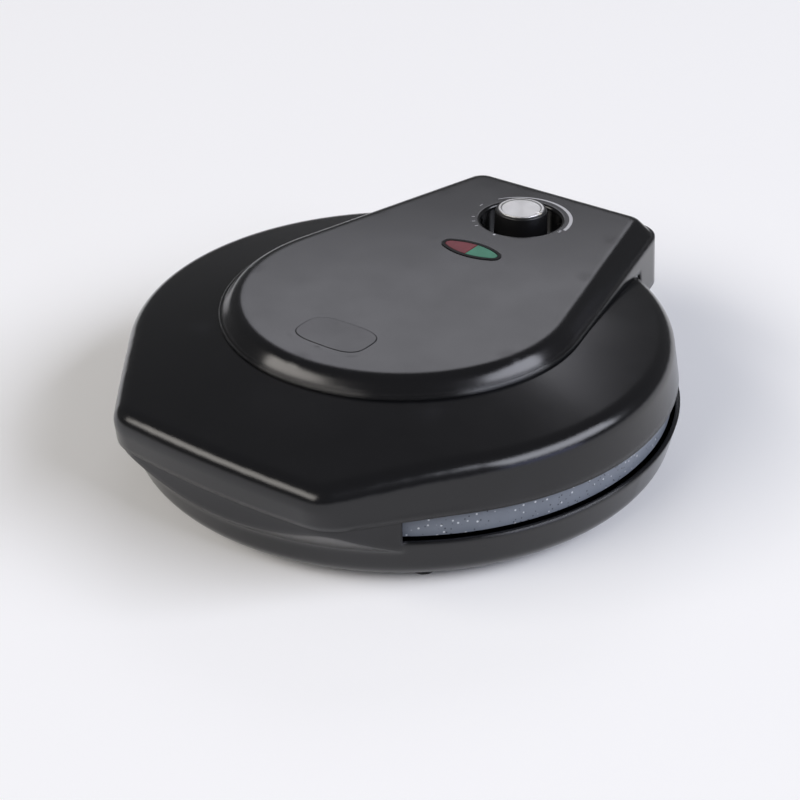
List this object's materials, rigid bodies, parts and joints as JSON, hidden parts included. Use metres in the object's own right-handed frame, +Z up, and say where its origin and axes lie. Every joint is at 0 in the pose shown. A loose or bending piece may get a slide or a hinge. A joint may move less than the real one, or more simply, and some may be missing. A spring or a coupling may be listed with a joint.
{
  "type": "countertop pizza maker",
  "caption": "Round electric pizza maker: hinged lid with hollow front handle, raised control cover with dial and indicator light, coated plates on a shallow bowl base.",
  "frame": {"origin": "centre of the bounding box on the worktop; the middle of the round plates is 3.5 mm in front of it", "axes": "+Z up, -Y towards the user and the handle, +X to the user's right"},
  "size_m": [0.3438, 0.3704, 0.1063],
  "materials": {
    "black_plastic": "moulded black, satin to semi-gloss",
    "knob_plastic": "moulded black",
    "bezel_plastic": "polished black",
    "badge_plastic": "satin black, blank",
    "terminal_plastic": "heat-resisting off-white",
    "plate_coating": "speckled grey non-stick coating on die-cast aluminium",
    "element_steel": "oxidised tube",
    "reflector_steel": "aluminised sheet",
    "steel_screw": "zinc plated",
    "spun_aluminium": "spun face",
    "brass_parts": "plain",
    "washer_ceramic": "unglazed",
    "black_rubber": "matt moulded",
    "red_lens": "tinted, polished",
    "green_lens": "tinted, polished",
    "lamp_glass": "clear"
  },
  "bodies": {
    "base": {"base_shell": "black_plastic", "rubber_feet": "black_rubber", "lower_plate": "plate_coating", "lower_heating_element": "element_steel", "lower_element_clips": "reflector_steel", "lower_reflector": "reflector_steel", "lower_washers": "washer_ceramic", "lower_plate_screws": "steel_screw", "lower_cutout": "brass_parts", "hinge_pins": "steel_screw", "cord_gland": "black_rubber", "terminal_block": "terminal_plastic"},
    "lid": {"lid_shell": "black_plastic", "control_cover": "black_plastic", "upper_plate": "plate_coating", "upper_heating_element": "element_steel", "upper_element_clips": "reflector_steel", "upper_reflector": "reflector_steel", "upper_washers": "washer_ceramic", "upper_plate_screws": "steel_screw", "upper_cutout": "brass_parts", "cover_screws": "steel_screw", "thermostat_body": "washer_ceramic", "thermostat_bracket": "reflector_steel", "lamp_bezel": "bezel_plastic", "red_lens": "red_lens", "green_lens": "green_lens", "lamp_holder": "terminal_plastic", "indicator_lamps": "lamp_glass", "badge_pad": "badge_plastic", "bracket_screws": "steel_screw"},
    "knob": {"knob_body": "knob_plastic", "knob_cap": "spun_aluminium", "thermostat_shaft": "steel_screw"}
  },
  "joints": [
    {"name": "lid_hinge", "type": "hinge", "parent": "base", "child": "lid", "pos_m": [0, 0.1715, 0.043], "axis": [-1, 0, 0], "range_deg": [0, 100]},
    {"name": "knob_turn", "type": "hinge", "parent": "lid", "child": "knob", "pos_m": [0, 0.1284, 0.097], "axis": [0, 0, 1], "range_deg": [0, 270]}
  ]
}
